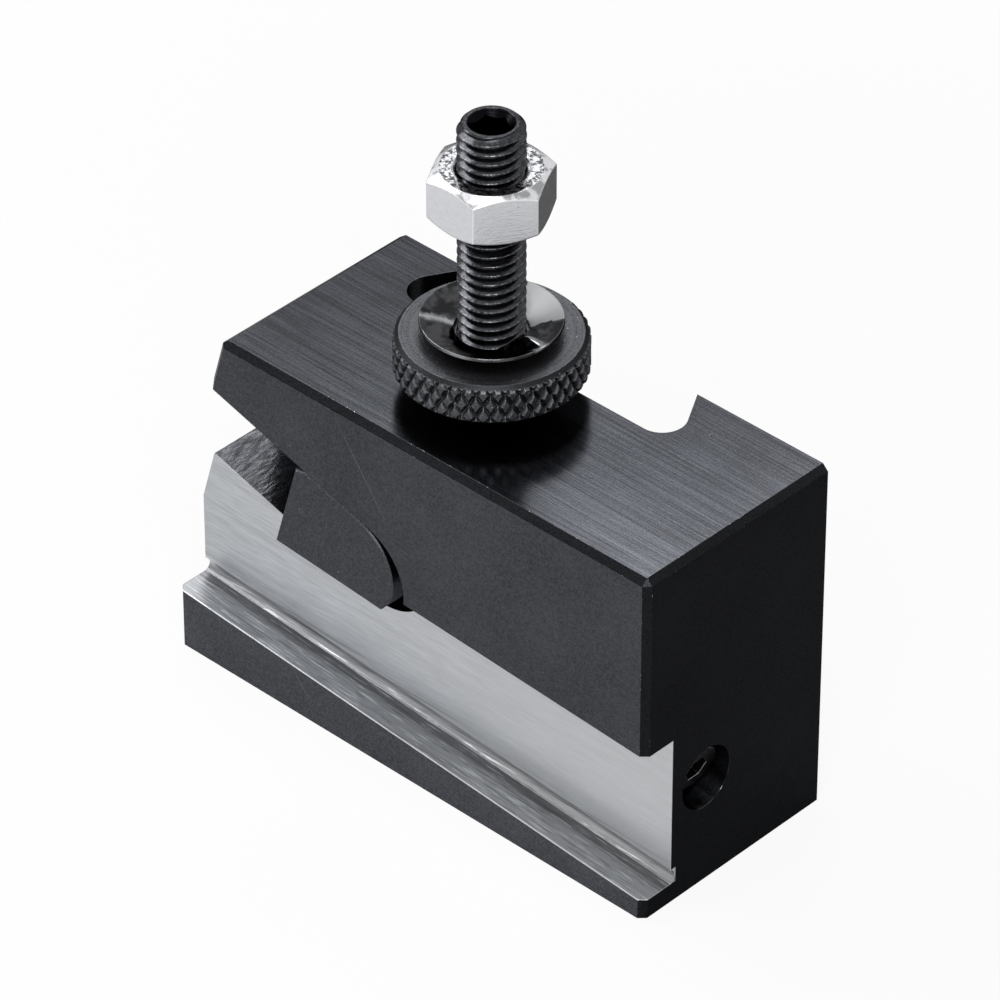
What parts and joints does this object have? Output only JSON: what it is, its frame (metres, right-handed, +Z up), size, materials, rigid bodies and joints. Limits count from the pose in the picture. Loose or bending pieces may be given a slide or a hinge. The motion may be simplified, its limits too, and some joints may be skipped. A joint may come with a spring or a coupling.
{
  "type": "turning tool holder",
  "caption": "Dovetail lathe tool post holder that clamps a parting blade in a tilted slot with a screw-drawn wedge, and sets its height by a knurled nut on a stud.",
  "frame": {"origin": "middle of the bottom face of the block", "axes": "+Z up along the stud, +X along the block towards the clamp screw's head, -Y out of the face with the blade slot, +Y out of the face with the dovetail groove"},
  "size_m": [0.075, 0.03, 0.0847],
  "materials": {
    "body_steel": "milled and black oxidised, bare and brushed in the blade slot",
    "wedge_steel": "black oxide, satin",
    "screw_steel": "black oxide, oiled",
    "stud_steel": "black oxide, oiled",
    "knurl_steel": "black oxide, knurled rim",
    "washer_steel": "black oxide, oiled and glossy",
    "zinc_plate": "bright zinc plating"
  },
  "bodies": {
    "block": {"holder_body": "body_steel", "height_stud": "stud_steel"},
    "washer": {"wave_washer": "washer_steel"},
    "height_nut": {"knurled_height_nut": "knurl_steel"},
    "lock_nut": {"lock_nut": "zinc_plate"},
    "wedge": {"wedge_clamp": "wedge_steel"},
    "screw": {"clamp_screw": "screw_steel"}
  },
  "joints": [
    {"name": "height_nut_lift", "type": "slide", "parent": "block", "child": "washer", "axis": [0, 0, 1], "range_m": [-0.00237, 0.0125]},
    {"name": "height_nut_turn", "type": "hinge", "parent": "washer", "child": "height_nut", "pos_m": [-0.0003, 0, 0.0536], "axis": [0, 0, 1], "range_deg": [-685, 3601]},
    {"name": "lock_nut_turn", "type": "hinge", "parent": "block", "child": "lock_nut", "pos_m": [-0.0003, 0, 0.07545], "axis": [0, 0, 1], "range_deg": [-360, 360]},
    {"name": "wedge_travel", "type": "slide", "parent": "block", "child": "wedge", "axis": [0.9613, 0, -0.2756], "range_m": [-0.00385, 0.00154]},
    {"name": "clamp_screw_turn", "type": "hinge", "parent": "block", "child": "screw", "pos_m": [0.03596, -0.0046, 0.01539], "axis": [-0.9613, 0, 0.2756], "range_deg": [-1981, 793]}
  ],
  "couplings": [
    {"joint": "height_nut_turn", "follows": "height_nut_lift", "rad_per_m": 5026.5},
    {"joint": "clamp_screw_turn", "follows": "wedge_travel", "rad_per_m": 8976}
  ]
}
